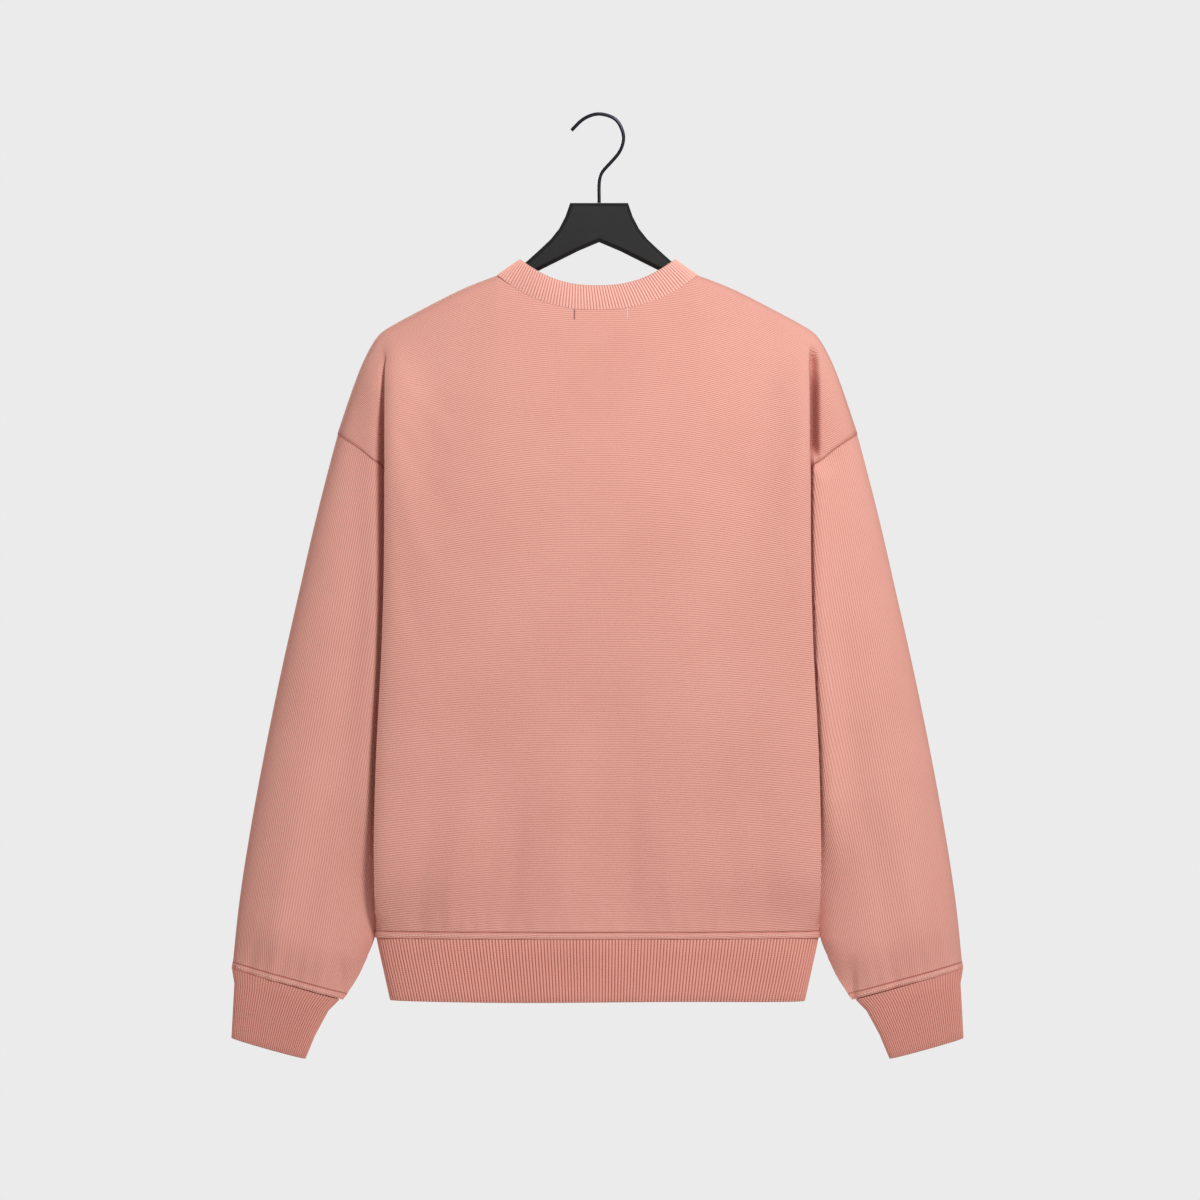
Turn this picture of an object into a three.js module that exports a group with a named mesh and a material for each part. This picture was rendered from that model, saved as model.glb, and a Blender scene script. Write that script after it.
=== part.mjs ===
// Crewneck sweatshirt hung on a flat hanger, shown from its back.
// Millimetres, +Z up. The back of the garment faces -Y and the wearer's left sleeve is at -X.
// The origin is the underside of the hook's top, where a rail carries the hanger.
// Most tables use "down", the distance below the origin.

import * as THREE from 'three';

// Driving dimensions

const clothWall = 2.2;
const ribRise = 0.8;
const weltRise = 0.8;
const seamGap = 0.3;
const halfGap = seamGap / 2;
const seamShift = 0.42;

const hemDown = 780.5;
const underarmDown = 520;
const shoulderTipDown = 302;
const neckHalf = 95;
const neckPointDown = 151.6;
const backNeckDown = 184.9;
const frontNeckDown = 237;

const collarHalf = 74;
const collarPointDown = 137;
const backCollarDown = 162.5;
const frontCollarDown = 215;
const backCollarDepth = 14.5;
const frontCollarDepth = 18;

const archRadius = 9.5;
const hemExponent = 2.5;

// Roundness of the side fold, as steps back from its edge and its depth
const foldRound = { front: 8, tipDepth: 5, back: 4.5, backDepth: 11 };
const panelFoot = { half: 208.4, depth: 34 };

const hemRibs = 286;
const collarRibs = 206;
const cuffRibs = 60;

const hangerMiddle = 1.5;
const hangerThickness = 12;
const hangerBevel = 3.5;
const wireDiameter = 3.6;

// Outer edge of shoulder and sleeve, from the neck point to the end of the sleeve
const outline = [
  { down: 151.6, half: 95 },
  { down: 162.1, half: 124.9 },
  { down: 173.5, half: 145.8 },
  { down: 184.9, half: 168.6 },
  { down: 196.3, half: 190 },
  { down: 207.7, half: 207.6 },
  { down: 222.9, half: 219 },
  { down: 241.9, half: 227.5 },
  { down: 279.9, half: 240.4 },
  { down: 336.9, half: 256 },
  { down: 393.9, half: 270.8 },
  { down: 450.9, half: 284 },
  { down: 507.9, half: 297.4 },
  { down: 583.9, half: 313.5 },
  { down: 678.9, half: 331.1 },
  { down: 754.9, half: 342.5 },
  { down: 810, half: 347.7 },
];

// Half thickness of the body, by the distance below the shoulder ridge
const bodySwell = [
  { drop: 9.5, extra: 0 },
  { drop: 34, extra: 7 },
  { drop: 80, extra: 14 },
  { drop: 150, extra: 22 },
  { drop: 250, extra: 28.5 },
  { drop: 400, extra: 30.5 },
  { drop: 550, extra: 28 },
  { drop: 640, extra: 24.5 },
];

// Fold at the side of the body, where the side of the garment tucks in behind the back and front
const bodyFold = [
  { down: 202, edge: 200, depth: 12 },
  { down: 222, edge: 201.4, depth: 22 },
  { down: 260, edge: 201.4, depth: 31 },
  { down: 302, edge: 201.4, depth: 36 },
  { down: 400, edge: 201.4, depth: 38 },
  { down: 460, edge: 202.4, depth: 38 },
  { down: 520, edge: 204.5, depth: 38 },
  { down: 600, edge: 209, depth: 37 },
  { down: 690, edge: 211.4, depth: 36 },
  { down: 745, edge: 211.6, depth: 35 },
  { down: 780.5, edge: 209.2, depth: 34 },
];

// Bottom of the tuck above the underarm
const tuckValley = [
  { down: 211, half: 208 },
  { down: 240, half: 205 },
  { down: 302, half: 199 },
  { down: 327, half: 193 },
  { down: 380, half: 174 },
  { down: 430, half: 155 },
  { down: 470, half: 141 },
  { down: 500, half: 131.5 },
  { down: 520, half: 127 },
];

// Seam of sleeve and body, from the tip of the shoulder to the underarm
const armhole = [
  { down: 302, half: 247 },
  { down: 307, half: 240 },
  { down: 313, half: 230 },
  { down: 325, half: 214 },
  { down: 345, half: 203 },
  { down: 380, half: 190 },
  { down: 420, half: 174.5 },
  { down: 460, half: 158 },
  { down: 495, half: 138 },
  { down: 520, half: 125 },
];

// Side seam, from the underarm to the hem, at the bottom of the side tuck
const sideSeam = [
  { down: 520, half: 125 },
  { down: 560, half: 128 },
  { down: 600, half: 136 },
  { down: 690, half: 162 },
  { down: 745, half: 186 },
  { down: 770, half: 198 },
  { down: 780.5, half: 208.4 },
];

// Inner edge of the sleeve, and above the underarm the line where its two faces would meet
const sleeveInner = [
  { down: 205, half: 186 },
  { down: 240, half: 182 },
  { down: 302, half: 172 },
  { down: 380, half: 150 },
  { down: 460, half: 131 },
  { down: 520, half: 125 },
  { down: 530, half: 131 },
  { down: 548, half: 138 },
  { down: 600, half: 153 },
  { down: 690, half: 179 },
  { down: 745, half: 202 },
  { down: 760, half: 209 },
  { down: 770, half: 212.4 },
  { down: 787, half: 215.6 },
  { down: 802.4, half: 219.8 },
  { down: 817.6, half: 226.8 },
  { down: 829, half: 234.5 },
  { down: 839.2, half: 242.6 },
];

// Half thickness of the sleeve at its thickest
const sleeveSwell = [
  { down: 205, depth: 12 },
  { down: 302, depth: 15.5 },
  { down: 420, depth: 19 },
  { down: 520, depth: 21 },
  { down: 650, depth: 22 },
  { down: 780, depth: 20 },
  { down: 840, depth: 14.5 },
];

// Sleeve end and cuff: each row is a straight line across the sleeve
const sleeveEnd = { innerDown: 839.2, outerDown: 810 };
const cuffRows = [
  { inner: 245.6, innerDown: 839.6, outer: 346.2, outerDown: 810.6, depth: 12.6 },
  { inner: 262, innerDown: 864, outer: 344.2, outerDown: 838, depth: 11.8 },
  { inner: 277.6, innerDown: 895, outer: 346.9, outerDown: 875.5, depth: 11 },
];

const hemRows = [
  { down: 780.8, half: 206.6, depth: 33.2 },
  { down: 840.4, half: 196.4, depth: 29.6 },
];

// Soft folds that the weight of the cloth leaves: a ridge has a positive rise, a trough a negative one
const backFolds = [
  { foot: -170, head: -150, from: 560, to: 790, reach: 24, rise: -2.6 },
  { foot: -140, head: -112, from: 590, to: 800, reach: 22, rise: 2.2 },
  { foot: -88, head: -74, from: 570, to: 800, reach: 24, rise: -2.8 },
  { foot: -38, head: -44, from: 560, to: 800, reach: 26, rise: 2.0 },
  { foot: 30, head: 24, from: 520, to: 800, reach: 30, rise: -2.8 },
  { foot: 70, head: 62, from: 640, to: 800, reach: 22, rise: 1.8 },
  { foot: 168, head: 160, from: 650, to: 800, reach: 24, rise: -2.2 },
];
const frontFolds = [
  { foot: 150, head: 132, from: 560, to: 800, reach: 26, rise: -2.4 },
  { foot: 92, head: 80, from: 590, to: 800, reach: 26, rise: 2.2 },
  { foot: 36, head: 30, from: 540, to: 800, reach: 28, rise: -2.6 },
  { foot: -30, head: -24, from: 600, to: 800, reach: 24, rise: 2.0 },
  { foot: -96, head: -84, from: 560, to: 800, reach: 28, rise: -2.6 },
  { foot: -158, head: -146, from: 620, to: 800, reach: 24, rise: 1.8 },
];

// Small helpers

const mix = (a, b, share) => a + (b - a) * share;
const clamp = (value, low, high) => Math.min(high, Math.max(low, value));

function ease(value, from, to) {
  const share = clamp((value - from) / (to - from), 0, 1);
  return share * share * (3 - 2 * share);
}

// A smooth curve through the rows of a table that never swings past them.
function through(rows, from, to) {
  const x = rows.map((row) => row[from]);
  const y = rows.map((row) => row[to]);
  const last = x.length - 1;
  const rate = x.slice(1).map((value, i) => (y[i + 1] - y[i]) / (value - x[i]));
  const slope = x.map((value, i) => {
    if (i === 0) return rate[0];
    if (i === last) return rate[last - 1];
    if (rate[i - 1] * rate[i] <= 0) return 0;
    return (2 * rate[i - 1] * rate[i]) / (rate[i - 1] + rate[i]);
  });
  return (value) => {
    const at = clamp(value, x[0], x[last]);
    let i = 0;
    while (i < last - 1 && at > x[i + 1]) i += 1;
    const width = x[i + 1] - x[i];
    const t = (at - x[i]) / width;
    const bend = t * t * (3 - 2 * t);
    const rise = t * (1 - t) * (1 - t) * width * slope[i];
    const fall = t * t * (t - 1) * width * slope[i + 1];
    return mix(y[i], y[i + 1], bend) + rise + fall;
  };
}

// Points at equal steps of length along a line of points.
function alongLine(points) {
  const length = [0];
  for (let i = 1; i < points.length; i += 1) {
    length.push(length[i - 1] + points[i].distanceTo(points[i - 1]));
  }
  const total = length[length.length - 1];
  return (share) => {
    const want = clamp(share, 0, 1) * total;
    let i = 1;
    while (i < points.length - 1 && want > length[i]) i += 1;
    const t = (want - length[i - 1]) / (length[i] - length[i - 1]);
    return { point: points[i - 1].clone().lerp(points[i], t), leg: i - 1, t };
  };
}

const outlineHalf = through(outline, 'down', 'half');
const outlineDown = through(outline, 'half', 'down');
const swellAt = through(bodySwell, 'drop', 'extra');
const foldEdge = through(bodyFold, 'down', 'edge');
const foldDepth = through(bodyFold, 'down', 'depth');
const valleyHalf = through(tuckValley, 'down', 'half');
const armholeHalf = through(armhole, 'down', 'half');
const sideHalf = through(sideSeam, 'down', 'half');
const innerHalf = through(sleeveInner, 'down', 'half');
const sleeveDepth = through(sleeveSwell, 'down', 'depth');

// Shapes of the cloth

// Half thickness of the body at a point of its back or front.
function bodyDepth(half, down) {
  const ridge = half < neckHalf ? neckPointDown : outlineDown(half);
  const drop = Math.max(0, down - ridge);
  if (drop < archRadius) return Math.sqrt(archRadius ** 2 - (archRadius - drop) ** 2);
  return archRadius + swellAt(drop);
}

// Half thickness of the sleeve: a thin inner edge in the tuck, a round outer edge.
function sleeveFace(half, down) {
  const inner = innerHalf(down);
  const share = clamp((half - inner) / (outlineHalf(down) - inner), 0, 1);
  const innerPower = mix(1, 0.6, ease(down, 640, 800));
  const outerPower = 0.5;
  const widest = innerPower / (innerPower + outerPower);
  const peak = widest ** innerPower * (1 - widest) ** outerPower;
  return (sleeveDepth(down) * share ** innerPower * (1 - share) ** outerPower) / peak;
}

// Depth that the soft folds add at a point.
function foldRise(folds, x, down) {
  return folds.reduce((sum, fold) => {
    const along = (down - fold.from) / (fold.to - fold.from);
    if (along <= 0) return sum;
    const middle = mix(fold.head, fold.foot, along);
    const fade = ease(along, 0, 0.6) * mix(1, 0.55, ease(down, 745, hemDown));
    return sum + fold.rise * fade * Math.exp(-(((x - middle) / fold.reach) ** 2));
  }, 0);
}

// An oval of the hem, as the depth at a half width.
function ovalDepth(oval, half) {
  return oval.depth * (1 - clamp(half / oval.half, 0, 1) ** hemExponent) ** (1 / hemExponent);
}

// Columns of a panel from its middle to its seam: where each leaves the top edge, and its part below
const panelColumns = [
  { top: 0, part: 'flat', foot: 0 },
  { top: 26, part: 'flat', foot: 26 },
  { top: 50, part: 'flat', foot: 52 },
  { top: 70, part: 'flat', foot: 76 },
  { top: 86, part: 'flat', foot: 98 },
  { top: 92.5, part: 'flat', foot: 108 },
  { top: 95, part: 'flat', foot: 124 },
  { top: 128, part: 'flat', foot: 148 },
  { top: 162, part: 'flat', foot: 172 },
  { top: 188, part: 'foldFront', foot: 190 },
  { top: 200, part: 'foldTip', foot: 200.5 },
  { top: 205, part: 'foldBack', foot: 204.8 },
  { top: 211, part: 'valley', foot: 207 },
  { top: 226, part: 'head', foot: 208.2 },
  { top: 247, part: 'seam', foot: 208.4 },
];

// Rows of a panel: a share of the way from the top edge to the hem, or a height above the hem
const underarmRow = 11;
const underarmShare = (underarmDown - shoulderTipDown) / (hemDown - shoulderTipDown);
const panelRows = [
  ...[0, 0.003, 0.01, 0.022, 0.045, 0.08, 0.125, 0.18, 0.245, 0.32, 0.39, underarmShare]
    .map((share) => ({ share, lift: 0 })),
  ...[0.535, 0.615, 0.69, 0.76, 0.82, 0.87, 0.915, 0.955].map((share) => ({ share, lift: 0 })),
  { above: 6.6, lift: 0 },
  { above: 5.8, lift: weltRise },
  { above: 0, lift: weltRise },
];

// Where a fold column lies once the side of the body is tucked in: half width and depth.
function tuckedPoint(part, down) {
  const edge = foldEdge(down);
  const depth = foldDepth(down);
  const back = { half: edge - foldRound.back, depth: depth - foldRound.backDepth };
  if (part === 'foldFront') return { half: edge - foldRound.front, depth };
  if (part === 'foldTip') return { half: edge, depth: depth - foldRound.tipDepth };
  if (part === 'foldBack') return back;
  if (down > underarmDown) {
    const spread = ease(down, underarmDown, underarmDown + 80);
    const share = part === 'head' ? mix(0.017, 0.25, spread) : mix(0.042, 0.58, spread);
    const bow = 5 * Math.min(1, share * 20) * (1 - share);
    return { half: mix(sideHalf(down), back.half, share), depth: back.depth * share + bow };
  }
  const turn = mix(2, 4.2, ease(down, underarmDown - 90, underarmDown - 15));
  const half = valleyHalf(down);
  return { half, depth: sleeveFace(half, down) + turn };
}

const columnOf = (part) => panelColumns.find((column) => column.part === part);

// The column between the tuck and the armhole seam: from the ridge it moves half way between them.
function headPoint(column, row, side, facing) {
  const valley = panelPoint(columnOf('valley'), row, side, facing);
  const seam = panelPoint(columnOf('seam'), row, side, facing);
  const middle = valley.lerp(seam, 0.5);
  const down = mix(outlineDown(column.top), hemDown, row.share);
  const ridge = new THREE.Vector3(side * column.top, 0, -down);
  const place = ridge.lerp(middle, ease(row.share, 0, 0.09));
  const depth = row.share === 0 ? halfGap : sleeveFace(Math.abs(place.x), -place.z) + 0.4;
  return place.setY(facing * depth);
}

// A point of the back (facing -1) or the front (facing 1), on the side -1 or 1 of the middle.
function panelPoint(column, row, side, facing) {
  if (column.part === 'head' && row.share <= underarmShare) return headPoint(column, row, side, facing);
  const frontNeck = facing > 0;
  const neckDown = frontNeck ? frontNeckDown : backNeckDown;
  const neckPower = frontNeck ? 2.2 : 2.4;
  const inNeck = column.top < neckHalf;
  const neckLine = mix(neckDown, neckPointDown, (column.top / neckHalf) ** neckPower);
  const topDown = inNeck ? neckLine : outlineDown(column.top);
  const start = column.part === 'seam' ? shoulderTipDown : topDown;
  const down = row.above === undefined ? mix(start, hemDown, row.share) : hemDown - row.above;

  const settle = ease(down, start, start + 90);
  let half;
  let depth;
  if (column.part === 'flat') {
    const low = (column.foot * foldEdge(down)) / foldEdge(hemDown);
    half = mix(column.top, low, settle);
    depth = bodyDepth(half, down);
  } else if (column.part === 'seam') {
    half = down > underarmDown ? sideHalf(down) : armholeHalf(down);
    depth = down > underarmDown ? 0 : sleeveFace(half, down);
  } else {
    const tucked = tuckedPoint(column.part, down);
    const quick = ease(down, start, start + 50);
    half = mix(Math.min(column.top, outlineHalf(down)), tucked.half, quick);
    depth = mix(bodyDepth(half, down), tucked.depth, ease(down, start + 2, start + 62));
  }
  const toHem = ease(down, hemDown - 65, hemDown - 5.8);
  half = mix(half, column.foot, toHem);
  depth = mix(depth, ovalDepth(panelFoot, column.foot), toHem);
  const x = side * half;
  if (column.part === 'flat') depth += foldRise(frontNeck ? frontFolds : backFolds, x, down);
  return new THREE.Vector3(x, facing * Math.max(depth, halfGap), -down);
}

// Making closed walls from grids of points

// Outward directions of a grid of points, and how far a corner's inner point has to move.
function gridNormals(grid, closed) {
  const rows = grid.length;
  const columns = grid[0].length;
  const faces = closed ? columns : columns - 1;
  const sums = grid.map((line) => line.map(() => []));
  for (let r = 0; r < rows - 1; r += 1) {
    for (let c = 0; c < faces; c += 1) {
      const next = (c + 1) % columns;
      const across = grid[r + 1][next].clone().sub(grid[r][c]);
      const back = grid[r + 1][c].clone().sub(grid[r][next]);
      const normal = back.cross(across).normalize();
      sums[r][c].push(normal);
      sums[r][next].push(normal);
      sums[r + 1][c].push(normal);
      sums[r + 1][next].push(normal);
    }
  }
  return sums.map((line) => line.map((list) => {
    const normal = list.reduce((sum, one) => sum.add(one), new THREE.Vector3()).normalize();
    const lean = list.reduce((sum, one) => sum + normal.dot(one), 0) / list.length;
    return { normal, stretch: 1 / clamp(lean, 0.66, 1) };
  }));
}

// Two triangles for each square between two rows. From the square otherCut on, the cut across a
// square runs the other way, so that the two sides of a piece mirror each other.
function addStrip(triangles, upper, lower, closed, otherCut = Infinity) {
  const faces = closed ? upper.length : upper.length - 1;
  for (let c = 0; c < faces; c += 1) {
    const next = (c + 1) % upper.length;
    if (c >= otherCut) {
      triangles.push([upper[c], lower[c], upper[next]], [lower[c], lower[next], upper[next]]);
    } else {
      triangles.push([upper[c], lower[c], lower[next]], [upper[c], lower[next], upper[next]]);
    }
  }
}

// A closed body from an outer and an inner grid of the same size.
function wallGeometry(outer, inner, closed, turned) {
  const points = [...outer.flat(), ...inner.flat()];
  const rows = outer.length;
  const columns = outer[0].length;
  const outerRow = (r) => outer[r].map((point, c) => r * columns + c);
  const innerRow = (r) => outerRow(r).map((index) => index + rows * columns);
  const triangles = [];
  const middle = closed ? columns / 2 : (columns - 1) / 2;
  for (let r = 0; r < rows - 1; r += 1) {
    addStrip(triangles, outerRow(r), outerRow(r + 1), closed, middle);
    addStrip(triangles, innerRow(r + 1), innerRow(r), closed, middle);
  }
  addStrip(triangles, innerRow(0), outerRow(0), closed, closed ? middle : Infinity);
  addStrip(triangles, outerRow(rows - 1), innerRow(rows - 1), closed);
  if (!closed) {
    const edge = (column) => {
      const out = outer.map((line, r) => r * columns + column);
      return { out, in: out.map((index) => index + rows * columns) };
    };
    const first = edge(0);
    const final = edge(columns - 1);
    addStrip(triangles, first.out, first.in, false, turned ? 0 : Infinity);
    addStrip(triangles, final.in, final.out, false, turned ? Infinity : 0);
  }
  return geometryFrom(points, triangles, turned);
}

function geometryFrom(points, triangles, turned) {
  const geometry = new THREE.BufferGeometry();
  const flat = points.flatMap((point) => [point.x, point.y, point.z]);
  const order = triangles.flatMap(([a, b, c]) => (turned ? [a, c, b] : [a, b, c]));
  geometry.setAttribute('position', new THREE.Float32BufferAttribute(flat, 3));
  geometry.setIndex(order);
  geometry.computeVertexNormals();
  return geometry;
}

// Triangles between two closed rings with different numbers of points.
function joinRings(triangles, first, second) {
  let a = 0;
  let b = 0;
  while (a < first.length || b < second.length) {
    const here = first[a % first.length];
    const there = second[b % second.length];
    const firstIsNext = (a + 1) / first.length <= (b + 1) / second.length;
    if (b === second.length || (a < first.length && firstIsNext)) {
      triangles.push([here, there, first[(a + 1) % first.length]]);
      a += 1;
    } else {
      triangles.push([here, there, second[(b + 1) % second.length]]);
      b += 1;
    }
  }
}

// A ribbed band: ridges in the outer points, a plain inside with fewer points.
// wall(around, along) gives the outer and inner point of the plain wall.
function ribbedBand(wall, ribs, alongs, innerCount) {
  const points = [];
  const triangles = [];
  const addRing = (count, pick) => {
    const start = points.length;
    for (let i = 0; i < count; i += 1) points.push(pick(i));
    return Array.from({ length: count }, (item, i) => start + i);
  };
  const outerRings = alongs.map((along) => addRing(ribs * 2, (i) => {
    const place = wall(i / (ribs * 2), along);
    const outward = place.out.clone().sub(place.in).normalize();
    return place.out.clone().addScaledVector(outward, i % 2 ? ribRise : 0);
  }));
  const innerRings = alongs.map((along) => addRing(innerCount, (i) => wall(i / innerCount, along).in));
  for (let r = 0; r < alongs.length - 1; r += 1) {
    addStrip(triangles, outerRings[r], outerRings[r + 1], true);
    addStrip(triangles, innerRings[r + 1], innerRings[r], true);
  }
  joinRings(triangles, innerRings[0], outerRings[0]);
  joinRings(triangles, outerRings[alongs.length - 1], innerRings[alongs.length - 1]);
  return geometryFrom(points, triangles, false);
}

// The back and the front

function panel(facing) {
  const sides = [
    ...panelColumns.slice(1).reverse().map((column) => ({ column, side: -1 })),
    ...panelColumns.map((column) => ({ column, side: 1 })),
  ];
  const plain = panelRows.map((row) => sides.map(({ column, side }) => (
    panelPoint(column, row, side, facing))));
  const normals = gridNormals(plain, false);
  const last = sides.length - 1;
  const outer = plain.map((line) => line.map((point) => point.clone()));
  const inner = plain.map((line) => line.map((point) => point.clone()));
  plain.forEach((line, r) => line.forEach((point, c) => {
    const { normal, stretch } = normals[r][c];
    normal.multiplyScalar(-facing);
    const onRidge = r === 0 && sides[c].column.top >= neckHalf;
    const onSide = (c === 0 || c === last) && r === 0;
    if (onRidge || onSide) normal.setY(0).normalize();
    outer[r][c].addScaledVector(normal, panelRows[r].lift);
    inner[r][c].addScaledVector(normal, -clothWall * stretch);
    if (Math.sign(inner[r][c].y) !== facing || onRidge || onSide) {
      inner[r][c].y = facing * halfGap;
    }
  }));
  return { outer, inner, geometry: wallGeometry(outer, inner, false, facing > 0), sides };
}

const backPanel = panel(-1);
const frontPanel = panel(1);

// The sleeve on the right of the picture, from its armhole to its end

const sleeveShares = [1, 0.975, 0.91, 0.81, 0.69, 0.56, 0.43, 0.31, 0.2, 0.12, 0.055, 0];
const sleeveRows = [
  ...[0, 0.035, 0.08, 0.14, 0.21, 0.29, 0.37, 0.45, 0.53, 0.61, 0.69, 0.77, 0.84, 0.9, 0.95]
    .map((share) => ({ share, lift: 0 })),
  { above: 6.4, lift: 0 },
  { above: 5.6, lift: weltRise },
  { above: 0, lift: weltRise },
];

// From the underarm to the inside of the sleeve's wall there
const underarmInside = new THREE.Vector3(2.7, 0, 1.2);

function sleeve() {
  const last = backPanel.outer[0].length - 1;
  const move = new THREE.Vector3(0.8, 0, -0.6).multiplyScalar(seamShift);
  const seamPoints = (kind) => {
    const column = (source, r) => source[kind][r][last].clone().add(move);
    const back = Array.from({ length: underarmRow + 1 }, (item, r) => column(backPanel, r));
    const front = Array.from({ length: underarmRow + 1 }, (item, r) => column(frontPanel, r));
    back[0].setY(0);
    back[underarmRow].setY(0);
    return [...back, ...front.slice(1, underarmRow).reverse()];
  };
  const seam = seamPoints('outer');
  const seamInside = seamPoints('inner');
  const shares = [...sleeveShares, ...sleeveShares.slice(1, -1).reverse()];
  const top = { inner: seam[underarmRow], outer: seam[0] };
  const grid = sleeveRows.map((row) => {
    const reach = (from, to) => (row.above === undefined ? mix(from, to, row.share) : to - row.above);
    const outerDown = reach(shoulderTipDown, sleeveEnd.outerDown);
    const innerDown = reach(underarmDown, sleeveEnd.innerDown);
    const fade = (1 - ease(row.share === undefined ? 1 : row.share, 0, 0.6)) ** 1.5;
    const outerX = outlineHalf(outerDown) + (seam[0].x - outlineHalf(shoulderTipDown)) * fade;
    const innerX = innerHalf(innerDown) + (top.inner.x - innerHalf(underarmDown)) * fade;
    return shares.map((share, c) => {
      const across = mix(innerX, outerX, share);
      const straight = new THREE.Vector3(across, 0, -mix(innerDown, outerDown, share));
      const drawn = top.inner.clone().lerp(top.outer, share);
      const bend = seam[c].clone().sub(drawn).setY(0).multiplyScalar(fade);
      const place = straight.add(bend);
      const sign = c > underarmRow ? 1 : -1;
      const edge = c === 0 || c === underarmRow;
      place.y = edge ? 0 : sign * sleeveFace(place.x, -place.z);
      return place;
    });
  });
  grid[0] = seam.map((point) => point.clone());
  const normals = gridNormals(grid, true);
  const outer = grid.map((line) => line.map((point) => point.clone()));
  const inner = grid.map((line) => line.map((point) => point.clone()));
  grid.forEach((line, r) => line.forEach((point, c) => {
    const { normal, stretch } = normals[r][c];
    normal.negate();
    outer[r][c].addScaledVector(normal, sleeveRows[r].lift);
    inner[r][c].addScaledVector(normal, -clothWall * stretch);
    const sign = Math.sign(point.y);
    if (sign !== 0) inner[r][c].y = sign * Math.max(inner[r][c].y * sign, halfGap);
  }));
  inner[0] = seamInside;
  inner[0][underarmRow] = outer[0][underarmRow].clone().add(underarmInside);
  return wallGeometry(outer, inner, true, true);
}

// The cuff under that sleeve

function cuff() {
  const lineAt = (name) => {
    const rows = cuffRows.map((row, i) => ({ at: i / (cuffRows.length - 1), value: row[name] }));
    return through(rows, 'at', 'value');
  };
  const inner = lineAt('inner');
  const innerDown = lineAt('innerDown');
  const outer = lineAt('outer');
  const outerDown = lineAt('outerDown');
  const depth = lineAt('depth');
  const steps = 96;
  const ring = (along, wallIn) => {
    const points = Array.from({ length: steps + 1 }, (item, i) => {
      const angle = (i / steps) * 2 * Math.PI;
      const length = (outer(along) - inner(along)) / 2;
      const share = 0.5 + (0.5 - wallIn / length / 2) * Math.cos(angle);
      const round = Math.sign(Math.sin(angle)) * Math.abs(Math.sin(angle)) ** 0.85;
      const y = (depth(along) - wallIn) * round;
      return new THREE.Vector3(mix(inner(along), outer(along), share), y,
        -mix(innerDown(along), outerDown(along), share));
    });
    return alongLine(points);
  };
  const rings = new Map();
  const lookUp = (along, wallIn) => {
    const key = `${along} ${wallIn}`;
    if (!rings.has(key)) rings.set(key, ring(along, wallIn));
    return rings.get(key);
  };
  const wall = (around, along) => ({
    out: lookUp(along, 0)(around).point,
    in: lookUp(along, clothWall)(around).point,
  });
  return ribbedBand(wall, cuffRibs, [0, 0.5, 1], 36);
}

// The hem band

function hemBand() {
  const ring = (row, wallIn) => {
    const oval = { half: row.half - wallIn, depth: row.depth - wallIn };
    const quarter = [];
    const steps = 40;
    for (let i = 0; i <= steps; i += 1) {
      const half = oval.half * Math.sin((i / steps) * Math.PI / 2);
      quarter.push({ half, depth: ovalDepth(oval, half) });
    }
    const place = (one, x, y) => new THREE.Vector3(x * one.half, y * one.depth, -row.down);
    const backward = [...quarter].reverse();
    return alongLine([
      ...backward.map((one) => place(one, -1, -1)),
      ...quarter.slice(1).map((one) => place(one, 1, -1)),
      ...backward.slice(1).map((one) => place(one, 1, 1)),
      ...quarter.slice(1).map((one) => place(one, -1, 1)),
    ]);
  };
  const rings = hemRows.map((row) => ({ out: ring(row, 0), in: ring(row, clothWall) }));
  const wall = (around, along) => ({
    out: rings[along].out(around).point,
    in: rings[along].in(around).point,
  });
  return ribbedBand(wall, hemRibs, [0, 1], 88);
}

// The neckband, on the panels' own neck edge

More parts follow.
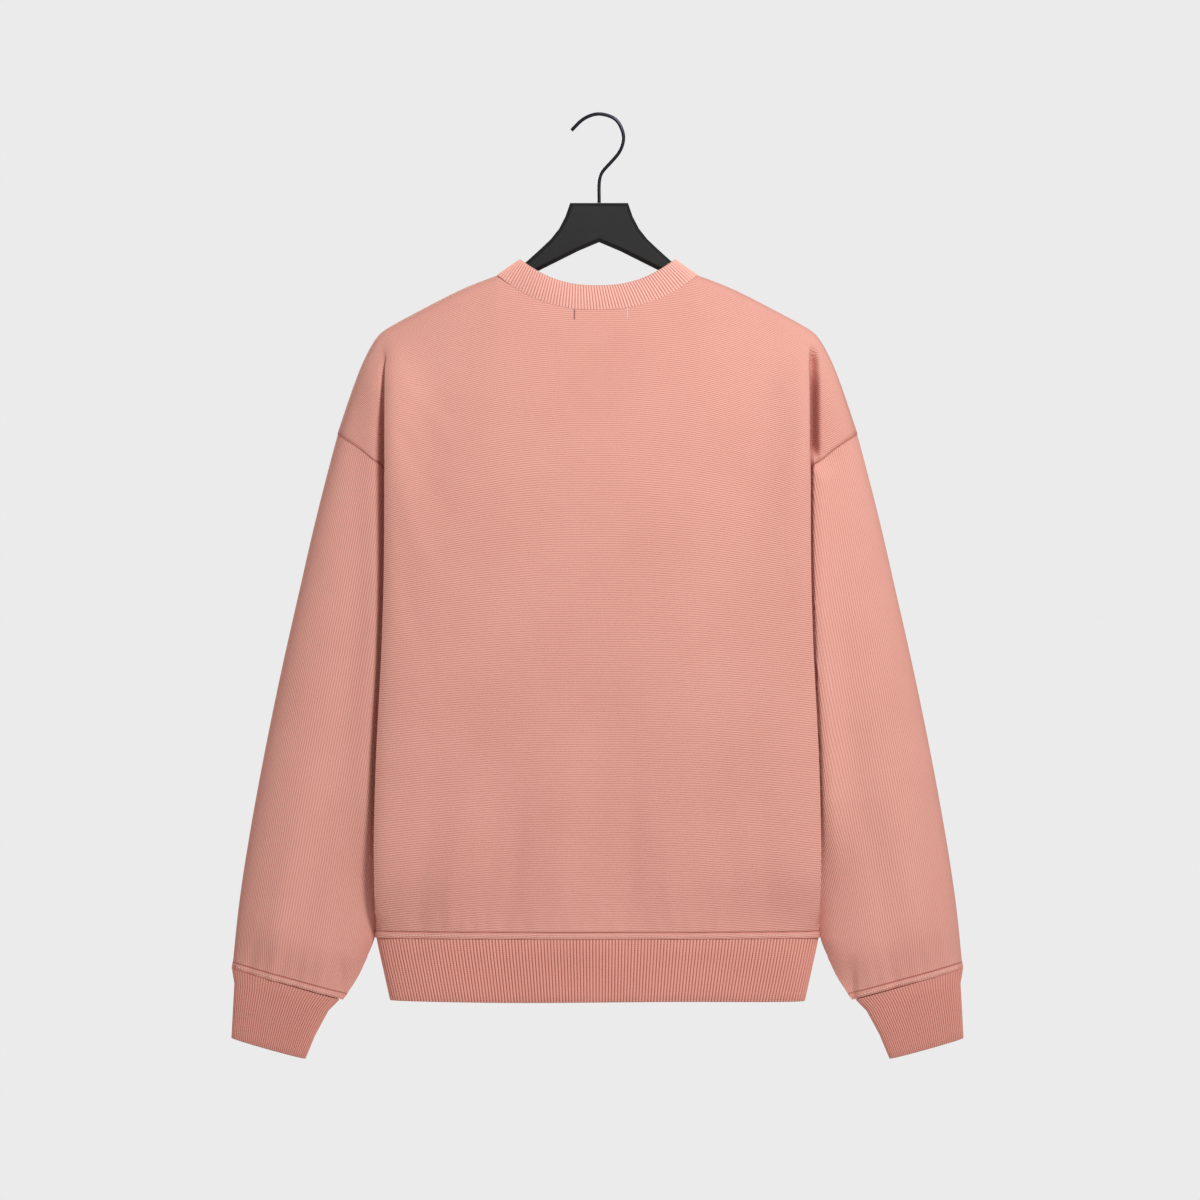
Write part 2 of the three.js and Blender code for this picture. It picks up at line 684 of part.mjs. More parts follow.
function neckband() {
  const neckColumns = backPanel.sides.map((one, c) => c)
    .filter((c) => backPanel.sides[c].column.top <= neckHalf);
  const edgePoint = (kind, c) => {
    const back = backPanel[kind][0][c].clone();
    if (backPanel.sides[c].column.top === neckHalf) back.setY(0);
    return back;
  };
  const ringOf = (kind) => {
    const back = neckColumns.map((c) => edgePoint(kind, c));
    const front = neckColumns.slice(1, -1).reverse().map((c) => frontPanel[kind][0][c].clone());
    return [...back, ...front, back[0].clone()];
  };
  const lowOuter = ringOf('outer');
  const lowInner = ringOf('inner');
  const lowAt = alongLine(lowOuter);
  const lengthOf = (line) => line.slice(1).reduce((sum, point, i) => sum + point.distanceTo(line[i]), 0);
  const backShare = lengthOf(lowOuter.slice(0, neckColumns.length)) / lengthOf(lowOuter);
  const freeEdge = (from, facing, centreDown, depth, power) => {
    const steps = 48;
    return alongLine(Array.from({ length: steps + 1 }, (item, i) => {
      const x = from * collarHalf * Math.cos((i / steps) * Math.PI);
      const share = Math.min(1, Math.abs(x) / collarHalf);
      const down = mix(centreDown, collarPointDown, share ** power);
      return new THREE.Vector3(x, facing * depth * Math.sqrt(1 - share ** 8), -down);
    }));
  };
  const backEdge = freeEdge(-1, -1, backCollarDown, backCollarDepth, 2.4);
  const frontEdge = freeEdge(1, 1, frontCollarDown, frontCollarDepth, 2.2);
  const highAt = (around) => (around < backShare
    ? backEdge(around / backShare).point
    : frontEdge((around - backShare) / (1 - backShare)).point);
  const step = 0.004;
  const wall = (around, along) => {
    const low = lowAt(around);
    const high = highAt(around);
    const rise = high.clone().sub(low.point).normalize();
    const ahead = highAt((around + step) % 1);
    const behind = highAt((around + 1 - step) % 1);
    const tangent = ahead.clone().sub(behind).normalize();
    const outward = rise.clone().cross(tangent).negate().normalize();
    const lowOut = low.point.clone().addScaledVector(rise, seamShift);
    const lowIn = lowInner[low.leg].clone().lerp(lowInner[low.leg + 1], low.t);
    lowIn.addScaledVector(rise, seamShift);
    const highIn = high.clone().addScaledVector(outward, -clothWall);
    return { out: lowOut.lerp(high, along), in: lowIn.lerp(highIn, along) };
  };
  return ribbedBand(wall, collarRibs, [1, 0], 110);
}

// The hanger and its hook

function hanger() {
  const top = [
    { half: 27.5, down: 83 },
    { half: 32, down: 96 },
    { half: 38, down: 107.5 },
    { half: 46, down: 117.5 },
    { half: 56, down: 127 },
    { half: 71, down: 140.5 },
    { half: 84, down: 154 },
    { half: 98, down: 162 },
    { half: 125, down: 168.5 },
    { half: 146, down: 179.5 },
    { half: 169, down: 190.6 },
    { half: 190, down: 202.4 },
  ];
  const bottom = [
    { half: 199, down: 208.5 },
    { half: 194, down: 219 },
    { half: 169, down: 208 },
    { half: 125, down: 188 },
    { half: 96, down: 179 },
    { half: 58, down: 147.5 },
    { half: 20, down: 128.5 },
    { half: 0, down: 120 },
  ];
  const right = [...top, ...bottom];
  const left = [...right].reverse().slice(1).map((row) => ({ half: -row.half, down: row.down }));
  const ring = [...right, ...left].map((row) => new THREE.Vector2(row.half, -row.down));
  const neighbour = (i, step) => ring[(i + step + ring.length) % ring.length];
  const inner = ring.map((point, i) => {
    const before = point.clone().sub(neighbour(i, -1)).normalize();
    const after = neighbour(i, 1).clone().sub(point).normalize();
    const tangent = before.clone().add(after).normalize();
    const normal = new THREE.Vector2(tangent.y, -tangent.x);
    return point.clone().addScaledVector(normal, hangerBevel / Math.max(0.75, tangent.dot(after)));
  });
  const face = hangerThickness / 2;
  const layers = [
    { ring: inner, y: -face },
    { ring, y: hangerBevel - face },
    { ring, y: face - hangerBevel },
    { ring: inner, y: face },
  ];
  const points = layers.flatMap((layer) => (
    layer.ring.map((point) => new THREE.Vector3(point.x + hangerMiddle, layer.y, point.y))));
  const layerRow = (n) => ring.map((point, i) => n * ring.length + i);
  const triangles = [];
  for (let n = 0; n < layers.length - 1; n += 1) addStrip(triangles, layerRow(n), layerRow(n + 1), true);
  const caps = THREE.ShapeUtils.triangulateShape(inner, []);
  const final = layers.length - 1;
  caps.forEach(([p, q, r]) => {
    triangles.push([p, r, q]);
    triangles.push([final * ring.length + p, final * ring.length + q, final * ring.length + r]);
  });
  return geometryFrom(points, triangles, true);
}

function hook() {
  const radius = wireDiameter / 2;
  const route = [
    { x: 1.5, down: 82.6 },
    { x: 1.8, down: 61 },
    { x: 4, down: 54 },
    { x: 12.5, down: 44.5 },
    { x: 21.4, down: 33.4 },
    { x: 24.8, down: 22 },
    { x: 23.6, down: 13.9 },
    { x: 18, down: 4 },
    { x: 9.9, down: -0.3 },
    { x: 0, down: -radius },
    { x: -8.6, down: 0.5 },
    { x: -15.5, down: 4.6 },
    { x: -24.7, down: 13.9 },
  ];
  const path = new THREE.CatmullRomCurve3(
    route.map((row) => new THREE.Vector3(row.x, 0, -row.down)), false, 'centripetal');
  const sides = 10;
  const section = new THREE.Shape(Array.from({ length: sides }, (item, i) => {
    const angle = (i / sides) * 2 * Math.PI;
    return new THREE.Vector2(radius * Math.cos(angle), radius * Math.sin(angle));
  }));
  return new THREE.ExtrudeGeometry(section, { extrudePath: path, steps: 34, bevelEnabled: false });
}

// Putting the pieces together

const mirrored = (geometry) => {
  const copy = geometry.clone();
  const place = copy.getAttribute('position');
  for (let i = 0; i < place.count; i += 1) place.setX(i, -place.getX(i));
  const order = copy.getIndex().array;
  for (let i = 0; i < order.length; i += 3) [order[i + 1], order[i + 2]] = [order[i + 2], order[i + 1]];
  copy.computeVertexNormals();
  return copy;
};

const group = new THREE.Group();

function addPiece(name, geometry, colour, roughness, metalness) {
  const material = new THREE.MeshStandardMaterial({ color: colour, roughness, metalness });
  const mesh = new THREE.Mesh(geometry, material);
  mesh.name = name;
  group.add(mesh);
}

const knitPink = 0xe0a292;
const sleevePink = 0xdb9c8c;
const ribPink = 0xd0907f;
const rightSleeve = sleeve();
const rightCuff = cuff();

addPiece('back_panel', backPanel.geometry, knitPink, 0.95, 0);
addPiece('front_panel', frontPanel.geometry, knitPink, 0.95, 0);
addPiece('sleeve_left', mirrored(rightSleeve), sleevePink, 0.95, 0);
addPiece('sleeve_right', rightSleeve, sleevePink, 0.95, 0);
addPiece('cuff_left', mirrored(rightCuff), ribPink, 0.95, 0);
addPiece('cuff_right', rightCuff, ribPink, 0.95, 0);
addPiece('hem_band', hemBand(), ribPink, 0.95, 0);
addPiece('neckband', neckband(), ribPink, 0.95, 0);
addPiece('hanger', hanger(), 0x2b2b2c, 0.7, 0);
addPiece('hook', hook(), 0x4a4a4c, 0.28, 1);

export default group;
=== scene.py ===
# %% [markdown]
# # A crewneck sweatshirt on a hanger
# The garment is cut from two knits: a fine body knit and a ribbed knit that grips at the hem, the
# wrists and the neck. It hangs on a flat black hanger and is seen from its back. Each cut piece of
# the real garment is one object here, a thin shell of cloth on the form of the solid model.

# %% Load the solid model
import math

import bmesh
import bpy
import numpy as np
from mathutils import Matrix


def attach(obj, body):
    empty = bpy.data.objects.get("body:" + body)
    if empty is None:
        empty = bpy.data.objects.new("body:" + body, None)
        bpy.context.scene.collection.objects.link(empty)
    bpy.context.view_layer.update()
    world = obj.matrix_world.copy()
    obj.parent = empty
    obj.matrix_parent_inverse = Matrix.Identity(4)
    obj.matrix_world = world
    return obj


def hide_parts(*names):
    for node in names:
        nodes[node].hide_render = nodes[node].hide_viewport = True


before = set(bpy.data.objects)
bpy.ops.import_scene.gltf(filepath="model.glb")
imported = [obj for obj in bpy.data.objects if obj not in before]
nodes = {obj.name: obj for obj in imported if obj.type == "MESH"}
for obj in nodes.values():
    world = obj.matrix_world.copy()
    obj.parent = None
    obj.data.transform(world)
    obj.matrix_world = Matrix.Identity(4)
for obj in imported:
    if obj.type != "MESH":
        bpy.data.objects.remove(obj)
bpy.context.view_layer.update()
MM = 0.001
print("nodes:", ", ".join(sorted(nodes)))

# %% [markdown]
# ## Camera
# The photograph was taken square on, from far enough away that nothing looks stretched. A long
# lens aimed along +Y at the middle of the garment gives the same view.

# %% Camera
FRAME_WIDTH = 1.14
LENS = 180
SENSOR = 36
VIEW_CENTRE = (0.0024, -0.46)

camera_data = bpy.data.cameras.new("camera")
camera_data.lens = LENS
camera_data.sensor_width = SENSOR
camera = bpy.data.objects.new("camera", camera_data)
camera.location = (VIEW_CENTRE[0], -FRAME_WIDTH * LENS / SENSOR, VIEW_CENTRE[1])
camera.rotation_euler = (math.radians(90), 0, 0)
bpy.context.scene.collection.objects.link(camera)
bpy.context.scene.camera = camera

# %% [markdown]
# ## Shader maths as expressions
# A woven or knitted surface is a sum of small waves. Written as nodes one by one it is hard to
# read, so a small class wraps a socket and lets a sum be written as a sum.


# %% Shader expressions
class Signal:
    """A socket that can be used in a sum; each operation adds a node."""

    def __init__(self, material, socket):
        self.material = material
        self.socket = socket

    def math(self, operation, *others):
        return self.material.node("ShaderNodeMath", {"operation": operation}, [self, *others])

    def __add__(self, other):
        return self.math("ADD", other)

    __radd__ = __add__

    def __sub__(self, other):
        return self.math("SUBTRACT", other)

    def __rsub__(self, other):
        return self.material.node("ShaderNodeMath", {"operation": "SUBTRACT"}, [other, self])

    def __mul__(self, other):
        return self.math("MULTIPLY", other)

    __rmul__ = __mul__

    def __truediv__(self, other):
        return self.math("DIVIDE", other)

    def __pow__(self, other):
        return self.math("POWER", other)

    def sine(self):
        return self.math("SINE")

    def absolute(self):
        return self.math("ABSOLUTE")

    def fraction(self):
        return self.math("FRACT")

    def step(self, low, high):
        """0 below low, 1 above high, and smooth between."""
        settings = {"interpolation_type": "SMOOTHSTEP"}
        return self.material.node("ShaderNodeMapRange", settings, {0: self, 1: low, 2: high})


class Finish:
    """A material whose nodes are made from expressions."""

    def __init__(self, name, colour, roughness, **constants):
        self.data = bpy.data.materials.new(name)
        self.data.use_nodes = True
        self.tree = self.data.node_tree
        self.shader = next(n for n in self.tree.nodes if n.type == "BSDF_PRINCIPLED")
        self.shader.inputs["Base Color"].default_value = (*colour, 1)
        self.shader.inputs["Roughness"].default_value = roughness
        for socket, value in constants.items():
            self.shader.inputs[socket.replace("_", " ")].default_value = value
        self.data.diffuse_color = (*colour, 1)

    def node(self, kind, settings=None, values=(), output=0):
        """Adds a node, sets it up, and links or fills its inputs."""
        node = self.tree.nodes.new(kind)
        for name, value in (settings or {}).items():
            setattr(node, name, value)
        pairs = values.items() if isinstance(values, dict) else enumerate(values)
        for key, value in pairs:
            if isinstance(value, Signal):
                self.tree.links.new(value.socket, node.inputs[key])
            else:
                node.inputs[key].default_value = value
        return Signal(self, node.outputs[output])

    def feed(self, socket, signal):
        self.tree.links.new(signal.socket, self.shader.inputs[socket])

    def place(self):
        """The place in the object, in metres, as a vector."""
        return self.node("ShaderNodeTexCoord", output="Object")

    def cloth_place(self):
        """The place on the cut cloth, in metres, as a vector."""
        return self.node("ShaderNodeUVMap", {"uv_map": "cloth"})

    def seam(self):
        """Painted shade: 1 on the edge of a seam, 0 a few millimetres away from it, and up to 0.95
        deep in the open tuck on the right.
        """
        return self.node("ShaderNodeAttribute", {"attribute_name": "seam"}, output=2)

    def parts(self, vector):
        split = self.node("ShaderNodeSeparateXYZ", values=[vector])
        outputs = split.socket.node.outputs
        return [Signal(self, outputs[i]) for i in range(3)]

    def noise(self, vector, scale, detail=2.0, rough=0.5):
        values = {"Vector": vector, "Scale": scale, "Detail": detail, "Roughness": rough}
        return self.node("ShaderNodeTexNoise", values=values, output=0)

    def blend(self, share, first, second):
        """A colour between two, by a share from 0 to 1."""
        node = self.tree.nodes.new("ShaderNodeMix")
        node.data_type = "RGBA"
        self.tree.links.new(share.socket, node.inputs[0])
        for index, value in ((6, first), (7, second)):
            if isinstance(value, Signal):
                self.tree.links.new(value.socket, node.inputs[index])
            else:
                node.inputs[index].default_value = (*value, 1)
        return Signal(self, node.outputs[2])

    def bump(self, height, distance, strength=1.0):
        values = {"Strength": strength, "Distance": distance, "Height": height}
        self.feed("Normal", self.node("ShaderNodeBump", values=values))


def linear(red, green, blue):
    """A colour as it looks on a screen, 0 to 255, as the shader's linear values."""
    def one(value):
        share = value / 255
        return share / 12.92 if share <= 0.04045 else ((share + 0.055) / 1.055) ** 2.4
    return tuple(one(value) for value in (red, green, blue))


# %% [markdown]
# ## The knits
# The body knit shows fine rows of loops across the back, and the sleeves were knitted the other
# way, so their lines run down the arm. Close up a row of loops is a chain of small Vs, with fuzz
# over it. The pattern follows the cut cloth, so it reads the cloth map that each piece carries.

# %% Knit finishes
COURSE = 2.2 * MM
WALE = 2.0 * MM
TURN = 2 * math.pi

BODY_COLOUR = linear(229, 168, 155)
SHADOW_COLOUR = linear(201, 133, 120)
# painted shade: the dark red of a seam's shadow, of the fine line above a welt and deep in the open
# tuck
PAINTED_SHADE_COLOUR = linear(150, 66, 54)
RIB_COLOUR = linear(237, 168, 154)
RIB_SHADOW = linear(176, 103, 90)
# painted shade: the cuffs are the hem's rib knit painted darker, as the light falls off towards the
# bottom
CUFF_COLOUR_PAINTED_DARKER = linear(225, 157, 144)
CUFF_SHADOW = linear(184, 114, 101)
# painted light: the collar is the hem's rib knit painted lighter, where it faces the lamp above
COLLAR_COLOUR_PAINTED_LIGHTER = linear(242, 184, 172)
COLLAR_SHADOW = linear(214, 147, 133)
RIB_PITCH = 3.0 * MM
SHEEN_TINT = (*linear(255, 214, 204), 1)
FUZZ_SCALE = 2600
# height of the welt's seam at the middle, in millimetres, and its slope outwards
BODY_WELT = (-780.5, 0)
SLEEVE_WELT = (-906.6, 0.2778)


def knit_finish(name, colour, shadow, across, depth, welt):
    """across is 0 where the lines of loops have u constant, and 1 where v is constant."""
    finish = Finish(name, colour, 0.9, Sheen_Weight=0.12, Sheen_Roughness=0.45,
                    Specular_IOR_Level=0.25)
    finish.shader.inputs["Sheen Tint"].default_value = SHEEN_TINT
    cloth = finish.cloth_place()
    parts = finish.parts(cloth)
    line, run = (parts[1], parts[0]) if across else (parts[0], parts[1])
    wander = finish.noise(cloth, 24, 2) - 0.5
    slant = ((run / WALE).fraction() - 0.5).absolute()
    at_line = line / COURSE + slant * 0.05 + wander * 0.8
    row = ((at_line * math.pi).sine()).absolute()
    loop = (((run / WALE) * math.pi).sine()).absolute()
    fuzz = finish.noise(cloth, FUZZ_SCALE, 3, 0.7)
    height = row ** 0.7 * 0.8 + row * loop * 0.08 + fuzz * 0.3
    worn = finish.noise(cloth, 7, 3, 0.55).step(0.25, 0.75)
    speck = finish.noise(cloth, 900, 2, 0.6).step(0.3, 0.7)
    shade = (1 - row) * 0.5 + speck * 0.2 + worn * 0.18
    x, y, z = finish.parts(finish.place())
    above = z - welt[0] * MM - x.absolute() * welt[1]
    # The fine line above the welt is a bump, and painted shade darkens its groove.
    groove = 1 - (above - 6.3 * MM).absolute().step(0.2 * MM, 1.0 * MM)
    plain = finish.blend(shade, colour, shadow)
    plain = finish.blend(groove * 0.55, plain, PAINTED_SHADE_COLOUR)
    # painted seam shadow and painted shade in the open tuck, from the seam attribute
    finish.feed("Base Color", finish.blend(finish.seam() ** 2.5 * 0.6, plain, PAINTED_SHADE_COLOUR))
    finish.feed("Roughness", 0.82 + fuzz * 0.14)
    finish.bump(height - groove * 0.8, depth, 0.9)
    return finish.data


body_knit = knit_finish("body knit", BODY_COLOUR, SHADOW_COLOUR, 1, 0.5 * MM, BODY_WELT)
sleeve_knit = knit_finish("sleeve knit", BODY_COLOUR, SHADOW_COLOUR, 0, 0.45 * MM, SLEEVE_WELT)


def rib_finish(name, colour, shadow):
    """The bands' cloth map gives every rib the same width, so one pitch fits them all."""
    finish = Finish(name, colour, 0.9, Sheen_Weight=0.14, Sheen_Roughness=0.45,
                    Specular_IOR_Level=0.25)
    finish.shader.inputs["Sheen Tint"].default_value = SHEEN_TINT
    cloth = finish.cloth_place()
    around, along, flat = finish.parts(cloth)
    ridge = ((around / RIB_PITCH) * math.pi).sine().absolute()
    slant = ((around / RIB_PITCH).fraction() - 0.5).absolute()
    loop = (((along / (1.9 * MM)) + slant) * math.pi).sine().absolute()
    fuzz = finish.noise(cloth, FUZZ_SCALE, 3, 0.7)
    worn = finish.noise(cloth, 9, 3, 0.55).step(0.25, 0.75)
    shade = (1 - ridge) ** 1.6 * 0.95 + (1 - loop) * 0.12 + worn * 0.12
    finish.feed("Base Color", finish.blend(shade, colour, shadow))
    finish.feed("Roughness", 0.82 + fuzz * 0.14)
    finish.bump(loop * 0.5 + ridge * 0.7 + fuzz * 0.3, 0.35 * MM, 0.9)
    return finish.data


rib_knit = rib_finish("rib knit", RIB_COLOUR, RIB_SHADOW)
# The cuff knit is painted darker, as painted shade low down.
cuff_knit_painted_darker = rib_finish("cuff knit painted darker", CUFF_COLOUR_PAINTED_DARKER, CUFF_SHADOW)
# The collar knit is painted lighter, as painted light from the lamp above.
collar_knit_painted_lighter = rib_finish("collar knit painted lighter", COLLAR_COLOUR_PAINTED_LIGHTER, COLLAR_SHADOW)
print("knits:", body_knit.name, sleeve_knit.name, rib_knit.name)

# %% [markdown]
# ## Thread, hanger and hook
# Sewing thread is smooth and a little shiny. The hanger is matt black plastic with a fine grain
# and faint scuffs, and its hook is dark steel of an uneven polish.


# %% Hard and sewn finishes
def thread_finish(name, colour):
    finish = Finish(name, colour, 0.55, Sheen_Weight=0.2)
    x, y, z = finish.parts(finish.place())
    twist = (((x + z) * (TURN / (0.5 * MM))).sine() * 0.5 + 0.5)
    dark = tuple(0.6 * value for value in colour)
    finish.feed("Base Color", finish.blend(twist * 0.5, colour, dark))
    finish.bump(twist, 0.05 * MM)
    return finish.data


pale_thread = thread_finish("pale thread", linear(250, 206, 196))
dark_thread = thread_finish("dark thread", linear(132, 82, 76))

plastic = Finish("hanger plastic", linear(26, 26, 27), 0.5, Specular_IOR_Level=0.3)
grain = plastic.noise(plastic.place(), 2200, 2, 0.6)
scuffs = plastic.noise(plastic.place(), 18, 4, 0.6).step(0.4, 0.75)
plastic.feed("Base Color", plastic.blend(scuffs * 0.6, linear(20, 20, 21), linear(31, 31, 32)))
plastic.feed("Roughness", 0.46 + grain * 0.12 + scuffs * 0.08)
plastic.bump(grain, 0.08 * MM, 0.5)

steel = Finish("hook steel", linear(62, 58, 66), 0.28, Metallic=1.0)
polish = steel.noise(steel.place(), 60, 3, 0.6)
steel.feed("Base Color", steel.blend(polish, linear(46, 42, 52), linear(62, 58, 68)))
steel.feed("Roughness", 0.3 + polish * 0.1)

# %% [markdown]
# ## Tools for a cloth shell
# A piece of cloth starts as a copy of its solid. The copy's loose triangles are joined, turned
# back into squares, and rounded by a subdivision surface, with the cut edges kept crisp. Its
# vertices are then moved in code for the creases that the solid is too coarse to hold.


# %% Cloth helpers
def pick_only(piece):
    bpy.ops.object.select_all(action="DESELECT")
    bpy.context.view_layer.objects.active = piece
    piece.select_set(True)


def apply_modifier(piece, kind, **settings):
    pick_only(piece)
    modifier = piece.modifiers.new(kind.lower(), kind)
    for name, value in settings.items():
        setattr(modifier, name, value)
    bpy.ops.object.modifier_apply(modifier=modifier.name)


def subdivide(piece, levels):
    apply_modifier(piece, "SUBSURF", levels=levels, render_levels=levels)


def copy_of(node_name, piece_name, flat=60):
    """A joined copy of a node, in squares where it was squares, flat to within an angle."""
    mesh = nodes[node_name].data.copy()
    mesh.materials.clear()
    piece = bpy.data.objects.new(piece_name, mesh)
    bpy.context.scene.collection.objects.link(piece)
    pick_only(piece)
    bpy.ops.object.mode_set(mode="EDIT")
    bpy.ops.mesh.select_all(action="SELECT")
    bpy.ops.mesh.remove_doubles(threshold=0.01 * MM)
    bpy.ops.mesh.tris_convert_to_quads(face_threshold=math.radians(flat),
                                       shape_threshold=math.radians(80))
    bpy.ops.object.mode_set(mode="OBJECT")
    if mesh.has_custom_normals:
        bpy.ops.mesh.customdata_custom_splitnormals_clear()
    bpy.ops.object.shade_smooth()
    return piece


def crease_edges(piece, degrees):
    """Keeps every edge sharper than an angle crisp through a subdivision surface."""
    shape = bmesh.new()
    shape.from_mesh(piece.data)
    layers = shape.edges.layers.float
    crease = layers.get("crease_edge") or layers.new("crease_edge")
    count = 0
    for edge in shape.edges:
        if len(edge.link_faces) == 2 and edge.calc_face_angle(0) > math.radians(degrees):
            edge[crease] = 1
            count += 1
    shape.to_mesh(piece.data)
    shape.free()
    return count


def points_of(piece):
    """The places of a piece's vertices, in millimetres."""
    flat = np.empty(len(piece.data.vertices) * 3)
    piece.data.vertices.foreach_get("co", flat)
    return flat.reshape(-1, 3) / MM


def set_points(piece, points):
    piece.data.vertices.foreach_set("co", (points * MM).ravel())
    piece.data.update()


def ease(value, low, high):
    share = np.clip((value - low) / (high - low), 0, 1)
    return share * share * (3 - 2 * share)


def map_cloth(piece, place):
    """Gives a piece its cloth map: place turns millimetres in space into millimetres of cloth."""
    layer = piece.data.uv_layers.get("cloth") or piece.data.uv_layers.new(name="cloth")
    across, along = place(points_of(piece))
    corner = np.empty(len(piece.data.loops), dtype=np.int32)
    piece.data.loops.foreach_get("vertex_index", corner)
    flat = np.stack([across[corner], along[corner]], axis=1) * MM
    layer.data.foreach_set("uv", flat.astype(np.float32).ravel())


def paint_seam_shade(piece, degrees=60):
    """Writes 1 on the cut edges of a shell, for a painted seam shadow, but not in a tuck.
    Painted shade is written deep in the open tuck on the right as well."""
    points = points_of(piece)
    half = np.abs(points[:, 0])
    down = -points[:, 2]
    tuck = (half > 192) & (half < 216) & (down > 215) & (down < 772)
    tuck &= np.abs(down - np.interp(half, (200, 216), (333, 322))) > 9
    shape = bmesh.new()
    shape.from_mesh(piece.data)
    # painted seam shadow on the cut edges
    painted_shade = np.zeros(len(shape.verts), dtype=np.float32)
    for edge in shape.edges:
        if edge.calc_face_angle(0) > math.radians(degrees):
            for vertex in edge.verts:
                painted_shade[vertex.index] = 1
    shape.free()
    painted_shade[tuck] = 0
    # painted shade deep in the open tuck on the right
    tuck_shade = (1 - ease(np.abs(points[:, 0] - 206), 3, 9)) * ease(down, 222, 262)
    tuck_shade = tuck_shade * (1 - ease(down, 316, 336)) * (np.abs(points[:, 1]) < 24)
    painted_shade = np.maximum(painted_shade, 0.95 * tuck_shade).astype(np.float32)
    layer = piece.data.attributes.new("seam", "FLOAT", "POINT")
    layer.data.foreach_set("value", painted_shade)


def cloth_area(piece):
    """Half of the surface of a thin closed shell, in square metres."""
    return sum(face.area for face in piece.data.polygons) / 2


def sharpen(piece, degrees=60):
    """Smooth cloth with crisp cut edges."""
    pick_only(piece)
    bpy.ops.object.shade_smooth_by_angle(angle=math.radians(degrees))


def finish_piece(piece, material, slot, *replaced):
    piece.data.materials.append(material)
    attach(piece, "root")
    if replaced:
        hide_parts(*replaced)
    print(f"{piece.name}: {len(piece.data.polygons)} faces, {cloth_area(piece):.4f} m2")


# %% [markdown]
# ## Back and front
# The weight of the hem pulls the cloth straight, so the folds are long and soft: they start at the
# shoulder blades and deepen towards the hem. Just above the hem seam the cloth is eased into the
# shorter rib, which leaves a row of small puckers.

# %% Folds of the body
HEM_DOWN = 780.5
BODY_DEPTH = 34
WELT = 5.9
WELT_RISE = 0.7
PUCKER_RISE = 0.26
CRISP = 66

# middle at the top and at the foot, start and end of the fold, reach and rise, in millimetres
BACK_CREASES = (
    (-150, -172, 590, 800, 10, -1.1),
    (-128, -143, 620, 800, 9, 1.0),
    (-66, -86, 600, 800, 9, -1.1),
    (-30, -36, 640, 800, 9, 0.9),
    (34, 31, 560, 800, 11, -1.2),
    (62, 72, 660, 800, 9, 0.9),
    (120, 134, 640, 800, 10, -0.8),
    (150, 166, 600, 800, 9, -1.0),
    (-10, 6, 420, 700, 26, -0.9),
    (88, 70, 380, 690, 24, 0.8),
    (-92, -70, 380, 690, 26, 0.8),
)
# start and end of a drag line from the armhole into the back: half width and distance down
ARM_CREASES = (
    (186, 250, 120, 330, 9, 0.9),
    (196, 300, 128, 400, 11, -1.0),
    (194, 350, 140, 470, 10, 0.9),
    (196, 420, 150, 540, 12, -0.9),
)


def long_creases(points, creases, mirror):
    x = points[:, 0] * mirror
    down = -points[:, 2]
    total = np.zeros(len(points))
    for top, foot, start, end, reach, rise in creases:
        along = (down - start) / (end - start)
        middle = top + (foot - top) * np.clip(along, 0, 1)
        fade = ease(along, 0, 0.7) * (1 - 0.5 * ease(down, 760, HEM_DOWN))
        total += rise * fade * np.exp(-(((x - middle) / reach) ** 2))
    return total


def drag_lines(points):
    half = np.abs(points[:, 0])
    down = -points[:, 2]
    total = np.zeros(len(points))
    for from_half, from_down, to_half, to_down, reach, rise in ARM_CREASES:
        leg = np.array([to_half - from_half, to_down - from_down], dtype=float)
        length = np.hypot(*leg)
        leg /= length
        along = ((half - from_half) * leg[0] + (down - from_down) * leg[1]) / length
        off = (half - from_half) * -leg[1] + (down - from_down) * leg[0]
        fade = ease(along, -0.05, 0.15) * (1 - ease(along, 0.35, 1))
        total += rise * fade * np.exp(-((off / reach) ** 2))
    return total


def puckers(points, phase):
    """Small gathers over the hem seam."""
    x = points[:, 0]
    down = -points[:, 2]
    wave = np.sin(x / 2.6 + 1.3 * np.sin(x / 17 + phase)) + 0.6 * np.sin(x / 4.3 + phase)
    return PUCKER_RISE * wave * ease(down, HEM_DOWN - 46, HEM_DOWN - 9) * (1 - ease(down, 770, 778))


# the edge of the side fold: distance down and half width
FOLD_EDGE = ((222, 201.4), (400, 201.4), (460, 202.4), (520, 204.5), (600, 209), (690, 211.4))
# the opened tuck on the right: where it begins and deepens, and where it ends above the underarm
TUCK_TOP = (216, 236)
TUCK_END = (322, 350)
TUCK_FILL = 4.5
TUCK_HOLLOW = 0.76


def tuck_wall(points):
    """Fills out the cloth just outside the side fold, so that the tuck is narrow and dark.
    The tuck on the right hangs open above the armhole seam, so it is hollowed out there."""
    half = np.abs(points[:, 0])
    down = -points[:, 2]
    edge = np.interp(down, *zip(*FOLD_EDGE))
    beyond = half - edge - 1
    right = ease(points[:, 0], 0, 20)
    fill = TUCK_FILL * (1 + right) * ease(beyond, -1, 5 - 2.5 * right)
    fill = fill * np.exp(-((np.maximum(0, beyond - 7) / 14) ** 2))
    fill = fill * ease(down, 225, 265) * (1 - ease(down, 640, 730))
    hollow = ease(beyond, -2, 0) * (1 - ease(beyond, -0.5, 9))
    above = 1 - ease(down, *TUCK_END)
    hollow = -TUCK_HOLLOW * hollow * ease(down, *TUCK_TOP) * above * np.abs(points[:, 1])
    open_share = right * above
    return np.sign(points[:, 1]) * (fill * (1 - open_share) + hollow * open_share)


SEAM_LIFT = 13
SLEEVE_RISE = 0.24


